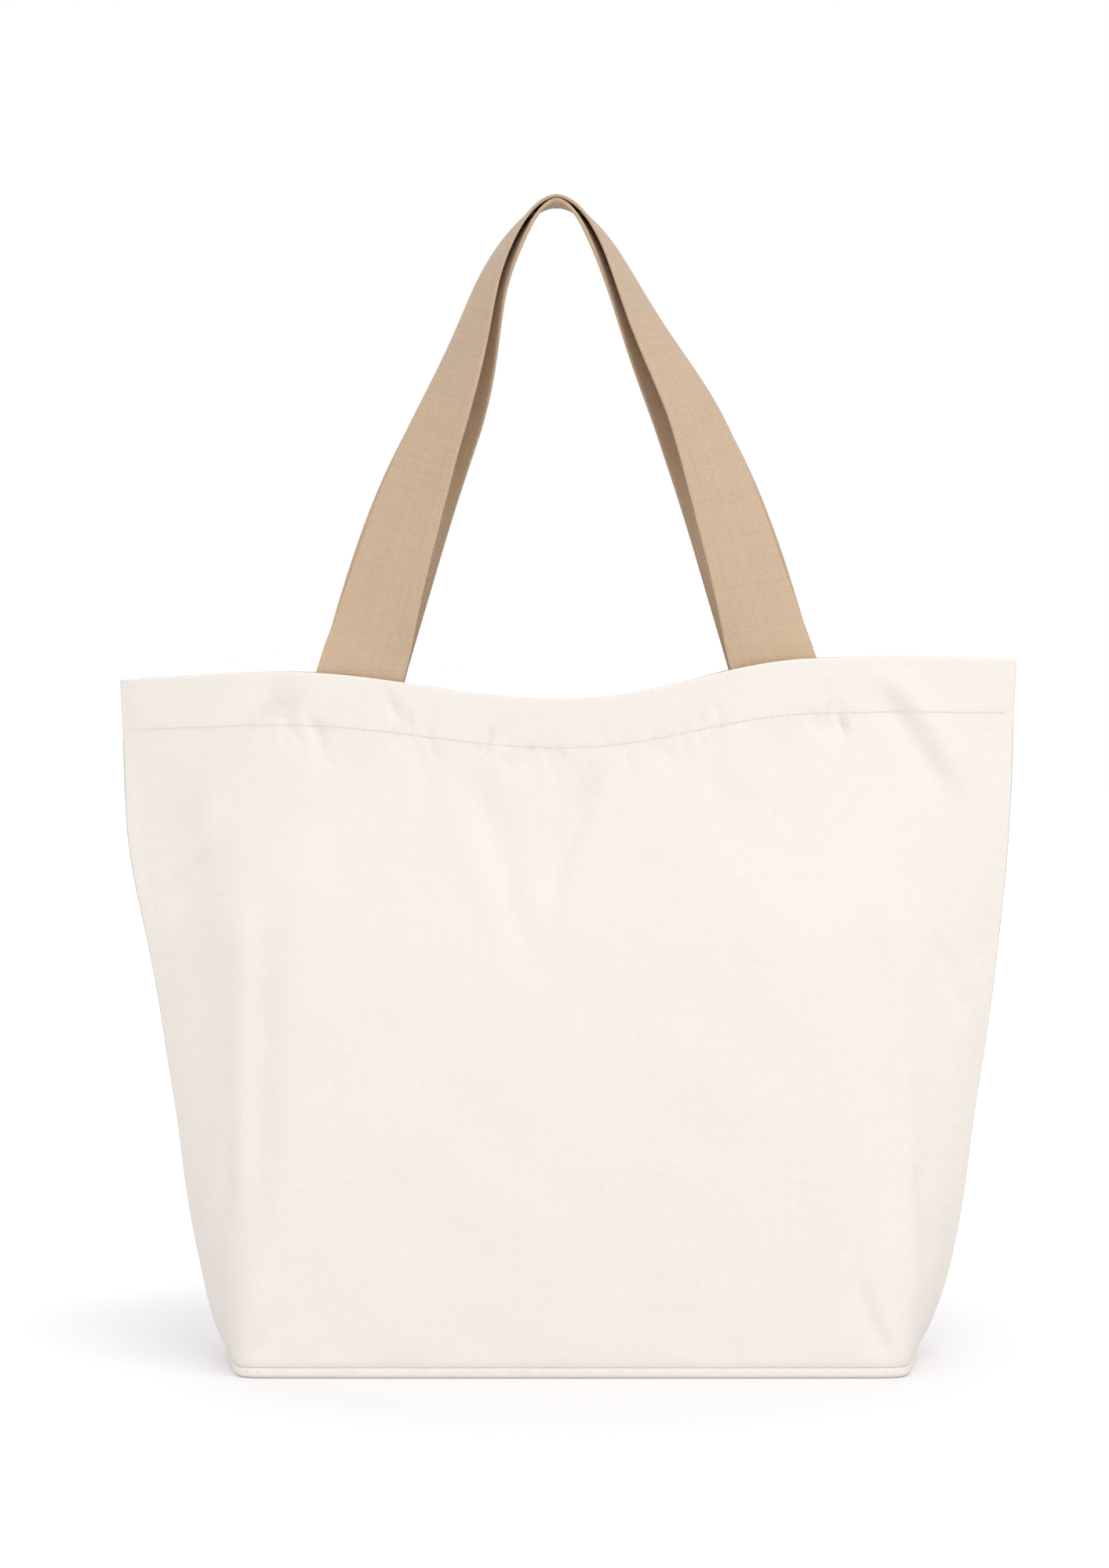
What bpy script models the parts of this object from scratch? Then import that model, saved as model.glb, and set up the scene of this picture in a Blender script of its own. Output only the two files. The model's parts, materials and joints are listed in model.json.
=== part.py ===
import math

import bmesh
import bpy
import numpy as np
from mathutils import Vector

# A canvas tote bag that stands on its base, with two webbing handles.
# X runs across the bag, the front faces -Y, +Z is up, and the origin is on the floor under the bag's middle.

mm = 0.001

# canvas body
baseWidth = 380 * mm
baseDepth = 150 * mm
bagHeight = 400 * mm
mouthDepth = 80 * mm  # how far the mouth stands open in its middle
mouthDip = 12 * mm  # how far the top edge sags between the handle's two legs
dipHalfWidth = 92 * mm
cornerRadius = 14 * mm  # rounding of the four standing corners
canvas = 1.0 * mm
seamAllowance = 12 * mm
rimHeight = 6 * mm  # the base panel turns up this far before its seam
sideRise = 0.45  # the sides spread quickly above the base, then slowly
lensStart = 0.55  # share of the height where the square corners begin to flatten

# folded hem around the mouth
hemHeight = 33 * mm
hemFoldGap = 0.6 * mm  # air between the hem's two layers
hemStitchDrop = 30 * mm

# webbing handles
webbingWidth = 50 * mm
webbing = 2.0 * mm
handleSpacing = 236 * mm  # between the centres of one handle's two legs
handleDrop = 270 * mm  # from the hinge line at the hem up to the top of the loop
sewnLength = 36 * mm
hingeRise = 1.5 * mm  # the handle bends this far above the hem's edge
crownGap = 2.7 * mm  # between the two handles where the back one lies under the front one at the top
legLean = math.radians(15.5)
# straight: how far a leg runs on before it curves; crown: half the crown's flat run; and how late and how early
# along the leg the strap turns level, 1 being evenly
frontHandle = {"side": -1, "straight": 164 * mm, "crown": 29 * mm, "turnLate": 0.82, "turnEarly": 0.98,
               "under": 0.0, "crownDepth": 0.0}
backHandle = {"side": 1, "straight": 121 * mm, "crown": 23.5 * mm, "turnLate": 1.61, "turnEarly": 1.41,
              "under": webbing + crownGap, "crownDepth": -4 * mm}

# thread
threadRadius = 0.4 * mm
overlock = 0.6 * mm
overlockReach = 3 * mm
boxMargin = 6 * mm

# clearances
gap = 0.3 * mm
sewGap = 0.5 * mm

halfBase = baseWidth / 2
halfDepth = baseDepth / 2
seamPlane = (canvas + gap) / 2  # each panel's seam edge stands this far off the plane between them
panelSeamZ = rimHeight + gap + canvas / 2
flangeBottom = panelSeamZ + 4 * mm
flangeTop = bagHeight - hemHeight - 4 * mm
hingeZ = bagHeight + hingeRise


def clearScene():
    for item in list(bpy.data.objects):
        bpy.data.objects.remove(item)


def newCollection(name):
    group = bpy.data.collections.new(name)
    bpy.context.scene.collection.children.link(group)
    return group


def paint(item, color, roughness):
    material = bpy.data.materials.new(item.name + "_material")
    material.use_nodes = True
    shader = material.node_tree.nodes["Principled BSDF"]
    shader.inputs["Base Color"].default_value = (*color, 1)
    shader.inputs["Roughness"].default_value = roughness
    shader.inputs["Metallic"].default_value = 0
    item.data.materials.append(material)


# quads between rows of points; a missing point (None) leaves its faces out, and either way can close on itself
def loft(name, rows, origin=(0, 0, 0), closeRows=False, closeColumns=False, fillLast=False, capEnds=False):
    base = Vector(origin)
    bm = bmesh.new()
    grid = [[None if p is None else bm.verts.new(Vector(p) - base) for p in row] for row in rows]
    rowCount = len(grid)
    columnCount = len(grid[0])
    for i in range(rowCount if closeRows else rowCount - 1):
        for j in range(columnCount if closeColumns else columnCount - 1):
            below, above = grid[i], grid[(i + 1) % rowCount]
            right = (j + 1) % columnCount
            corners = (below[j], below[right], above[right], above[j])
            if None not in corners:
                bm.faces.new(corners)
    if capEnds:
        bm.faces.new(grid[0])
    if fillLast or capEnds:
        bm.faces.new(grid[-1])
    bmesh.ops.recalc_face_normals(bm, faces=bm.faces)
    loose = [v for v in bm.verts if not v.link_faces]
    bmesh.ops.delete(bm, geom=loose, context="VERTS")
    mesh = bpy.data.meshes.new(name)
    bm.to_mesh(mesh)
    bm.free()
    item = bpy.data.objects.new(name, mesh)
    item.location = base
    toteParts.objects.link(item)
    mesh.shade_smooth()
    mesh.set_sharp_from_angle(angle=math.radians(40))
    return item


def thicken(item, thickness):
    shell = item.modifiers.new("thickness", "SOLIDIFY")
    shell.thickness = thickness
    shell.offset = 0
    shell.use_even_offset = True


def thread(name, points, closed=False):
    curve = bpy.data.curves.new(name, "CURVE")
    curve.dimensions = "3D"
    curve.bevel_depth = threadRadius
    curve.bevel_resolution = 1
    curve.use_fill_caps = not closed
    spline = curve.splines.new("POLY")
    spline.points.add(len(points) - 1)
    for slot, point in zip(spline.points, points):
        slot.co = (*point, 1)
    spline.use_cyclic_u = closed
    item = bpy.data.objects.new(name, curve)
    toteParts.objects.link(item)
    return item


def smoothStep(t):
    t = np.clip(t, 0, 1)
    return t * t * (3 - 2 * t)


# how far each point lies along a line of points, from 0 at the first to 1 at the last
def shareAlong(line):
    run = np.cumsum(np.hypot(*np.diff(line, axis=0).T))
    return np.concatenate([[0], run / run[-1]])


# half the mouth's width: the mouth is a flat lens whose half outline is as long as half a flat panel
def mouthHalfWidth():
    length = halfBase + halfDepth
    return (length + math.sqrt(length**2 - 3.6 * (mouthDepth / 2) ** 2)) / 2


def seamX(z):
    return halfBase + (mouthHalfWidth() - halfBase) * (z / bagHeight) ** sideRise


# a quarter of the bag's outline at one height, from the side seam to the middle of the front:
# below, the side runs straight to a rounded corner and the front bows a little; above, it flattens into a lens
def quarterSection(z):
    tip = seamX(z)
    fold = math.sqrt(halfDepth**2 - (tip - halfBase) ** 2)
    middle = halfDepth + (mouthDepth / 2 - halfDepth) * z / bagHeight
    radius = min(cornerRadius, 0.8 * fold)

    def front(x):
        return fold + (middle - fold) * (1 - (x / halfBase) ** 2)

    corner = np.array([halfBase, fold])
    seam = np.array([tip, 0.0])
    arcStart = corner + (seam - corner) * radius / halfDepth
    arcEnd = np.array([halfBase - radius, front(halfBase - radius)])
    t = np.arange(5)[:, None] / 5
    side = seam + (arcStart - seam) * t
    t = np.arange(4)[:, None] / 4
    arc = (1 - t) ** 2 * arcStart + 2 * t * (1 - t) * corner + t * t * arcEnd
    x = arcEnd[0] * (1 - np.arange(11) / 10)
    folded = np.vstack([side, arc, np.column_stack([x, front(x)])])

    lensX = tip * (1 - shareAlong(folded))
    lens = np.column_stack([lensX, mouthDepth / 2 * (1 - (lensX / tip) ** 3)])
    weight = smoothStep((z / bagHeight - lensStart) / (1 - lensStart))
    points = folded + (lens - folded) * weight
    points[:, 1] += seamPlane
    return points


# the half outline of one panel at one height, from its left seam to its right seam, moved inwards by inset
def panelSection(z, inset=0.0):
    quarter = quarterSection(z)
    half = np.vstack([quarter * (-1, 1), quarter[-2::-1]])
    run = np.gradient(half, axis=0)
    run /= np.linalg.norm(run, axis=1)[:, None]
    return half + inset * np.column_stack([run[:, 1], -run[:, 0]])


def sag(x, z):
    bell = np.cos(np.clip(x / dipHalfWidth, -1, 1) * math.pi / 2) ** 2
    return z - mouthDip * bell * (z / bagHeight) ** 4


# how far a panel's middle surface stands from the bag's middle plane, at a place across and a height
def wallDepth(x, z):
    quarter = quarterSection(min(z, bagHeight))
    return float(np.interp(abs(x), quarter[::-1, 0], quarter[::-1, 1]))


# the base outline, moved inwards by inset on all four sides
def baseOutline(inset):
    half = panelSection(0)
    shrink = np.array([1 - inset / halfBase, 1 - inset / (halfDepth + seamPlane)])
    front = half * (1, -1) * shrink
    back = half[::-1] * shrink
    return np.vstack([front, back])


# a body panel: a seam flange under its foot, the wall, a seam flange down each side, and the hem turned inwards
def bodyPanel(name, side):
    fold = (canvas + hemFoldGap) / 2

    def row(z, inset=0.0, skipEnds=False):
        points = panelSection(z, inset)
        line = [(x, side * y, sag(x, z)) for x, y in points]
        if skipEnds:
            line[0] = line[-1] = None
        return line

    def flanges(line, z):
        inner = seamX(z) - seamAllowance
        present = flangeBottom <= z <= flangeTop
        left = (-inner, side * seamPlane, z) if present else None
        right = (inner, side * seamPlane, z) if present else None
        return [left, *line, right]

    foot = panelSection(0) * (1 - seamAllowance / halfBase, 1 - seamAllowance / (halfDepth + seamPlane))
    rows = [[None, *[(x, side * y, panelSeamZ) for x, y in foot], None]]
    wall = [panelSeamZ, flangeBottom, *np.linspace(flangeBottom, flangeTop, 9)[1:]]
    wall += [bagHeight - hemHeight, bagHeight - hemStitchDrop, bagHeight - hemHeight / 2, bagHeight - fold]
    rows += [flanges(row(z), z) for z in wall]
    rows.append([None, *row(bagHeight, fold, True), None])
    for z in (bagHeight - fold, bagHeight - hemHeight / 2, bagHeight - hemHeight):
        rows.append([None, *row(z, 2 * fold, True), None])
    item = loft(name, rows)
    thicken(item, canvas)
    return item


# the base panel: a flat bottom, a rolled rim, and a seam flange turned back over it
def basePanel():
    radius = (rimHeight - canvas) / 2
    turn = np.radians(np.linspace(90, -90, 7))
    profile = [(seamAllowance, rimHeight - canvas / 2)]
    profile += [(radius - radius * math.cos(a), canvas / 2 + radius + radius * math.sin(a)) for a in turn]
    rows = [[(x, y, z) for x, y in baseOutline(inset)] for inset, z in profile]
    item = loft("base_panel", rows, closeColumns=True, fillLast=True)
    thicken(item, canvas)
    return item


# thread wrapped round the raw edges of two layers, as a channel seen along the seam: (inset, across) pairs
def overlockChannel(low, high):
    mouth = seamAllowance - overlockReach
    back = seamAllowance + gap
    near, far = low - gap, high + gap
    outer = [(mouth, near - overlock), (back + overlock, near - overlock)]
    outer += [(back + overlock, far + overlock), (mouth, far + overlock)]
    return outer + [(mouth, far), (back, far), (back, near), (mouth, near)]


def baseSeamOverlock():
    channel = overlockChannel(rimHeight - canvas, panelSeamZ + canvas / 2)
    rings = [baseOutline(inset) for inset, across in channel]
    rows = []
    for k in range(len(rings[0])):
        rows.append([(*ring[k], across) for ring, (inset, across) in zip(rings, channel)])
    return loft("base_seam_overlock", rows, closeRows=True, closeColumns=True)


def sideSeamOverlock(name, side):
    edge = seamPlane + canvas / 2
    channel = overlockChannel(-edge, edge)
    rows = []
    for z in np.linspace(flangeBottom, flangeTop, 9):
        rows.append([(side * (seamX(z) - inset), across, z) for inset, across in channel])
    return loft(name, rows, closeColumns=True, capEnds=True)


def hemStitching(name, side):
    reach = canvas / 2 + gap + threadRadius
    height = bagHeight - hemStitchDrop
    line = panelSection(height, -reach)[1:-1]
    return thread(name, [(x, side * y, sag(x, height)) for x, y in line])


# across its leg at the hinge line, a handle's slanted end is this wide
def sewnWidth():
    return webbingWidth / math.cos(legLean)


# depth of a sewn end's middle surface at one corner: behind the hem's two layers and the sewing gap
def sewnDepth(x, z):
    return wallDepth(x, z) - canvas * 1.5 - hemFoldGap - sewGap - webbing / 2


# corners of a sewn end, as (outer edge, inner edge) at its lower and upper line; it carries on the leg's lean
def sewnCorners(side, leg):
    corners = []
    for z in (bagHeight - sewnLength, hingeZ - gap / 2):
        centre = handleSpacing / 2 + (hingeZ - z) * math.tan(legLean)
        line = []
        for x in (centre + sewnWidth() / 2, centre - sewnWidth() / 2):
            line.append(Vector((leg * x, side * sewnDepth(x, z), z)))
        corners.append(line)
    return corners


def sewnEnd(name, side, leg):
    (lowOuter, lowInner), (highOuter, highInner) = sewnCorners(side, leg)
    rows = []
    for t in (0, 0.5, 1):
        outer, inner = lowOuter.lerp(highOuter, t), lowInner.lerp(highInner, t)
        rows.append([outer.lerp(inner, k / 4) for k in range(5)])
    item = loft(name, rows)
    thicken(item, webbing)
    return item


# one turn of stitching round a sewn end, on the face inside the bag
def boxStitching(name, side, leg):
    (lowOuter, lowInner), (highOuter, highInner) = sewnCorners(side, leg)
    acrossShare = boxMargin / sewnWidth()
    upShare = boxMargin / (sewnLength + hingeRise)
    lift = Vector((0, -side * (webbing / 2 + gap + 2 * threadRadius), 0))
    ring = []
    for across, up in ((acrossShare, upShare), (1 - acrossShare, upShare),
                       (1 - acrossShare, 1 - upShare), (acrossShare, 1 - upShare)):
        low, high = lowOuter.lerp(lowInner, across), highOuter.lerp(highInner, across)
        ring.append(low.lerp(high, up) + lift)
    return thread(name, ring, closed=True)


# where a handle hinges: just outside the hem, so that the strap swings over the hem's edge
def hingeAxis(side):
    depth = wallDepth(handleSpacing / 2 - sewnWidth() / 2, bagHeight) + canvas / 2 + gap
    return Vector((0, side * depth, hingeZ))


# a handle's loop: each leg is a cubic curve from the hem to the crown, and the strap turns a quarter round it,
# so that it faces outwards at the hem and lies level at the crown, its inner edge to the front.
# The back handle's crown lies under the front handle's
def handle(name, shape):
    side = shape["side"]
    foot = np.array([handleSpacing / 2, 0.0])
    lean = np.array([-math.sin(legLean), math.cos(legLean)])
    top = handleDrop - shape["under"]
    ends = [foot, foot + shape["straight"] * lean, np.array([shape["crown"], top]), np.array([0, top])]
    t = np.linspace(0, 1, 23)[:, None]
    leg = (1 - t) ** 3 * ends[0] + 3 * t * (1 - t) ** 2 * ends[1] + 3 * t * t * (1 - t) * ends[2] + t**3 * ends[3]
    run = np.gradient(leg, axis=0)
    run[0] = lean
    run[-1] = (-1, 0)
    run /= np.linalg.norm(run, axis=1)[:, None]
    along = shareAlong(leg)

    (outerTop, innerTop) = sewnCorners(side, 1)[1]
    footDepth = (outerTop.y + innerTop.y) / 2
    footTwist = math.atan2(abs(innerTop.y - outerTop.y), webbingWidth)
    depth = footDepth + (shape["crownDepth"] - footDepth) * smoothStep(along)
    turned = 1 - (1 - along ** shape["turnLate"]) ** shape["turnEarly"]
    twist = side * footTwist * (1 - turned) - math.pi / 2 * turned

    rows = []
    for k in range(len(leg)):
        inward = np.array([-run[k, 1], run[k, 0]])
        level = (1 - smoothStep(along[k] / 0.3)) * math.tan(legLean)
        across = math.cos(twist[k]) * (inward + level * run[k])
        reach = math.sin(twist[k])
        row = []
        for share in (-0.5, -0.25, 0, 0.25, 0.5):
            offset = share * webbingWidth
            x, z = leg[k] + offset * across
            row.append((x, depth[k] + offset * reach, hingeZ + gap / 2 + z))
        rows.append(row)
    mirrored = [[(-x, y, z) for x, y, z in row] for row in rows[-2::-1]]
    item = loft(name, rows + mirrored, origin=hingeAxis(side))
    thicken(item, webbing)
    return item


canvasColor = (0.86, 0.79, 0.70)
webbingColor = (0.60, 0.43, 0.29)
canvasThread = (0.82, 0.74, 0.63)
webbingThread = (0.56, 0.40, 0.27)

clearScene()
toteParts = newCollection("canvas_tote_bag")

for item in (bodyPanel("front_panel", -1), bodyPanel("back_panel", 1), basePanel()):
    paint(item, canvasColor, 0.9)

for item in (handle("front_handle", frontHandle), handle("back_handle", backHandle)):
    paint(item, webbingColor, 0.8)

for sideName, side in (("front", -1), ("back", 1)):
    paint(hemStitching(sideName + "_hem_stitching", side), canvasThread, 0.7)
    for legName, leg in (("left", -1), ("right", 1)):
        label = sideName + "_handle_" + legName
        paint(sewnEnd(label + "_end", side, leg), webbingColor, 0.8)
        paint(boxStitching(label + "_box_stitching", side, leg), webbingThread, 0.7)

paint(sideSeamOverlock("left_side_seam_overlock", -1), canvasThread, 0.7)
paint(sideSeamOverlock("right_side_seam_overlock", 1), canvasThread, 0.7)
paint(baseSeamOverlock(), canvasThread, 0.7)
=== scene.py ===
import json
import math

import bpy
import numpy as np
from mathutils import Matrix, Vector


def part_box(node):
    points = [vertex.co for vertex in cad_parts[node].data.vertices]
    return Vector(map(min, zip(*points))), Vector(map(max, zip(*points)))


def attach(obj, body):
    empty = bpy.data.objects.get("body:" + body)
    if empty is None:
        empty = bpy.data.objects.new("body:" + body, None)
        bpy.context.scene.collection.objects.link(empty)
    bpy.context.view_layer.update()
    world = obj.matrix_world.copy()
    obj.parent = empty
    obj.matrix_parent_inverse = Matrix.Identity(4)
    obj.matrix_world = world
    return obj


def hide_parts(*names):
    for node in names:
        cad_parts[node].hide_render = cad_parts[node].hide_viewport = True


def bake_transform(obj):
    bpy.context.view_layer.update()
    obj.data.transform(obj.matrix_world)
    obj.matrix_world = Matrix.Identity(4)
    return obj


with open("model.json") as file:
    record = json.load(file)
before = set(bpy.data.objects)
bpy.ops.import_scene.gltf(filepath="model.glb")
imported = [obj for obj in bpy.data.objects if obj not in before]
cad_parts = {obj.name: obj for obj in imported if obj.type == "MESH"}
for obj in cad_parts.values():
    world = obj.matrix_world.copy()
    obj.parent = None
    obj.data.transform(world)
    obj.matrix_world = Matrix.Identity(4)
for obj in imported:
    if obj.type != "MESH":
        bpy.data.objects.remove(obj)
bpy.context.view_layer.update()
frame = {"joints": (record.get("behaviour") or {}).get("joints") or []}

mm = 0.001

# the bag's own measures, taken from the frame where it has them
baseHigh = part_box("base_panel")[1]
hinges = {joint["child"]: joint["pos_m"] for joint in frame["joints"]}
bag = {
    "height": hinges["front_handle"][2] - 1.5 * mm,
    "halfBase": baseHigh.x - 0.5 * mm,
    "halfDepth": 75 * mm,
    "mouthDepth": 80 * mm,
    "seamPlane": 0.41 * mm,  # each panel's seam edge stands this far off the plane between the panels
    "footHeight": 6.45 * mm,  # where the walls meet the base panel's rolled rim
    "sideRise": 0.45,
    "lensStart": 0.62,
    "cornerTight": 5 * mm,  # softness of the standing corners at the floor, and higher up
    "cornerSoft": 22 * mm,
    "belly": (4.2 * mm, 0.30, 60 * mm),  # the sides stand out by this much at this height, over this reach
    "waist": (-1.4 * mm, 0.14, 40 * mm),
    "hemFade": 20 * mm,  # both fade out over this height at the mouth
    "fadeLeft": 0.3,
    "softBy": 0.5,  # share of the height at which the corners are at their softest
    "footSway": 2 * mm,  # the body leans a little to the right between floor and mouth
    "bodySway": 4.2 * mm,
    "swayIn": 60 * mm,  # the lean grows over this height, and goes over the second one, from the first
    "swayOut": (200 * mm, 120 * mm),
}
flatHalf = bag["halfBase"] + bag["halfDepth"]  # half a body panel's flat width between its seams
# half the mouth's width m, from m + 0.9 d^2 / m = flatHalf, which is the length of y = d (1 - (x/m)^3)
mouthHalf = (flatHalf + math.sqrt(flatHalf**2 - 4 * 0.9 * (bag["mouthDepth"] / 2) ** 2)) / 2


# 3t^2 - 2t^3 on t held between 0 and 1
def smoothStep(t):
    t = np.clip(t, 0, 1)
    return t * t * (3 - 2 * t)


# width times log(1 + e^(x/width)): nought below x = 0 and a slope of one above it, rounded between
def softRamp(x, width):
    return width * np.logaddexp(0, x / width)


# vectors over their own lengths
def unit(rows):
    return rows / np.linalg.norm(rows, axis=-1, keepdims=True)


# points read off a line at given distances along it, where run is the distance at each of its own points
def readAt(marks, run, rows):
    return np.stack([np.interp(marks, run, rows[:, k]) for k in range(3)], axis=1)


# distance run along a line of points, starting at 0
def runLength(points):
    steps = np.linalg.norm(np.diff(points, axis=0), axis=1)
    return np.concatenate([[0], np.cumsum(steps)])


# the shape of the mouth's edge
mouthEdge = {
    "lift": 3.1 * mm,
    "tilt": 0.025,  # the right end stands higher than the left
    "dip": 19.4 * mm,  # between the legs of the handles
    "dipCentre": 4 * mm,
    "dipLeft": 178 * mm,
    "dipRight": 140 * mm,
    "leftDroop": 1.7 * mm,
    "rightDroop": 2.7 * mm,
    "droopStart": 180 * mm,
    "backSink": 3 * mm,  # the back edge hangs this much lower between the handles
    "reach": 2.2,  # how quickly the edge's shape fades downwards
}


# lift + tilt a, less a cosine-squared dip in the middle and a smooth droop towards each side seam
def edgeOffset(a, side):
    off = a - mouthEdge["dipCentre"]
    half = np.where(off < 0, mouthEdge["dipLeft"], mouthEdge["dipRight"])
    bell = np.cos(np.clip(off / half, -1, 1) * math.pi / 2) ** 2
    far = smoothStep((np.abs(a) - mouthEdge["droopStart"]) / (flatHalf - mouthEdge["droopStart"]))
    droop = np.where(a < 0, mouthEdge["leftDroop"], mouthEdge["rightDroop"])
    dip = mouthEdge["dip"] + (mouthEdge["backSink"] if side > 0 else 0)
    return mouthEdge["lift"] + mouthEdge["tilt"] * a - dip * bell - droop * far


# where a wall's middle surface is, a metres along the cloth from its middle and h up it. Below, the cloth
# runs flat to a soft corner and on to the side seam; above, the same length bends into a lens d (1 - |a|^3)
def wallPoint(a, h, side):
    share = np.clip(h / bag["height"], 0, 1)
    reach = np.abs(a)
    tip = bag["halfBase"] + (mouthHalf - bag["halfBase"]) * share ** bag["sideRise"]
    belowHem = smoothStep((bag["height"] - h) / bag["hemFade"] + bag["fadeLeft"])
    for size, height, reachUp in (bag["belly"], bag["waist"]):
        tip = tip + size * np.exp(-(((h - height) / reachUp) ** 2)) * belowHem
    fold = np.sqrt(bag["halfDepth"] ** 2 - (tip - bag["halfBase"]) ** 2)
    middle = bag["halfDepth"] + (bag["mouthDepth"] / 2 - bag["halfDepth"]) * share
    softness = bag["cornerTight"] + (bag["cornerSoft"] - bag["cornerTight"]) * smoothStep(
        share / bag["softBy"])
    turned = softRamp(reach - bag["halfBase"], softness)
    flat = reach - turned
    foldedX = flat + turned * (tip - bag["halfBase"]) / bag["halfDepth"]
    foldedY = fold + (middle - fold) * (1 - (flat / bag["halfBase"]) ** 2) - turned * fold / bag["halfDepth"]
    along = reach / flatHalf
    lensX = tip * along
    lensY = bag["mouthDepth"] / 2 * (1 - along**3)
    weight = smoothStep((share - bag["lensStart"]) / (1 - bag["lensStart"]))
    x = np.sign(a) * (foldedX + (lensX - foldedX) * weight)
    x = x + bag["footSway"] + (bag["bodySway"] - bag["footSway"]) * smoothStep(h / bag["swayIn"])
    outFrom, outOver = bag["swayOut"]
    x = x - bag["bodySway"] * smoothStep((h - outFrom) / outOver)
    y = side * (bag["seamPlane"] + np.maximum(foldedY + (lensY - foldedY) * weight, 0))
    z = h + edgeOffset(a, side) * share ** mouthEdge["reach"]
    return np.stack([x, y, z], axis=-1)


# the wall's outward direction: the cross product of its slopes along and up the cloth
def wallNormal(a, h, side):
    step = 0.5 * mm
    across = wallPoint(a + step, h, side) - wallPoint(a - step, h, side)
    upward = wallPoint(a, h + step, side) - wallPoint(a, h - step, side)
    return unit(np.cross(across, upward) * -side)


# folds in the cloth, in millimetres: start along and up the cloth, end along and up, depth, width, lean, bow
frontFolds = [
    (-64, 362, -28, 226, 2.6, 9, 0.5, 5),
    (24, 362, -14, 262, 3.0, 7, -0.7, -3),
    (-163, 398, -216, 306, 2.6, 8, 0.9, -4),
    (-122, 372, -160, 300, 1.0, 10, 0.6, 3),
    (176, 392, 232, 316, 2.6, 7, -0.9, 4),
    (-92, 372, -84, 318, 1.3, 6, 0.3, 2),
    (92, 374, 84, 322, 1.3, 6, -0.3, -2),
    (-150, 376, -146, 340, 1.2, 4.5, 0.4, 1),
    (110, 370, 122, 300, 0.9, 9, 0.5, 4),
    (44, 372, 66, 344, 0.9, 5, 0.4, 0),
    (-176, 300, -186, 60, 1.4, 9, 1.3, -8),
    (172, 286, 184, 60, 1.4, 9, -1.3, 8),
    (160, 62, 189, 4, 1.6, 5, -0.6, -4),
    (-168, 48, -189, 4, 1.6, 5, 0.6, 4),
    (-40, 150, 90, 120, 0.5, 16, 0.2, 8),
    (-140, 90, -30, 60, 0.4, 14, 0.3, -6),
    (216, 250, 248, 190, 1.6, 7, -0.5, 3),
    (-212, 300, -250, 262, 1.8, 6, 0.5, -2),
    (-205, 150, -240, 60, 1.4, 9, 0.6, 4),
    (205, 130, 240, 50, 1.4, 9, -0.6, -4),
]
backFolds = [
    (58, 362, 20, 240, 2.0, 9, -0.5, -4),
    (-30, 362, -2, 276, 1.9, 8, 0.6, 3),
    (160, 396, 222, 300, 2.6, 8, -0.8, 4),
    (-170, 394, -228, 310, 2.3, 8, 0.8, -5),
    (-96, 372, -78, 310, 1.3, 7, 0.4, 2),
    (94, 374, 80, 312, 1.3, 6, -0.4, -2),
    (-178, 310, -185, 70, 1.4, 9, 1.2, -6),
    (174, 290, 184, 60, 1.4, 9, -1.2, 6),
    (164, 56, 189, 4, 1.6, 5, -0.6, -3),
    (-166, 54, -189, 4, 1.6, 5, 0.6, 3),
    (-60, 120, 70, 170, 0.6, 18, 0.2, -8),
    (214, 240, 250, 200, 1.6, 7, -0.5, 3),
    (-214, 262, -250, 214, 1.6, 7, 0.5, -3),
]
# broad hollows where the sides fall in, in millimetres: place along and up, width, height and depth
hollows = [
    (-234, 286, 25, 58, 5.2),
    (-228, 190, 24, 66, 3.6),
    (216, 232, 24, 60, 4.5),
    (226, 130, 22, 60, 2.0),
    (-18, 300, 60, 90, 2.0),
    (0, 120, 120, 80, -2.0),
]
puckers = {
    "count": 56,
    "zones": [(-168, -140), (-104, -78), (8, 96), (140, 168), (-50, 0)],
    "depth": (0.4, 0.95),
    "width": (1.8, 4.2),
    "length": (12, 30),
    "place": (369, 7),  # how high up the cloth their middles lie, and how much that varies
    "slant": 0.35,
    "lean": 0.5,
    "bow": 1,
    "seed": 11,
}
foldFade = 0.3  # share of a fold's length over which each of its ends fades out
ripples = {"waves": 14, "shortest": 26, "longest": 95, "height": 0.34, "heading": 0.7, "seed": 5}
backSeed = 20  # the back panel's random numbers start this much further on


# each fold adds window(t) depth (lean u e^(1/2 - u^2/2) - e^(-u^2)), where t runs along it and u is the
# distance from its bowed line over its width
def foldField(a, h, folds):
    total = np.zeros_like(a)
    for startA, startH, endA, endH, depth, width, lean, bow in folds:
        start, end = np.array((startA, startH)) * mm, np.array((endA, endH)) * mm
        run = end - start
        length = np.hypot(*run)
        t = ((a - start[0]) * run[0] + (h - start[1]) * run[1]) / length**2
        off = ((a - start[0]) * run[1] - (h - start[1]) * run[0]) / length
        off = off + bow * mm * 4 * np.clip(t, 0, 1) * (1 - np.clip(t, 0, 1))
        u = off / (width * mm)
        window = smoothStep(t / foldFade) * smoothStep((1 - t) / foldFade)
        total += window * depth * mm * (lean * u * np.exp(0.5 - u * u / 2) - np.exp(-u * u))
    return total


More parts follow.
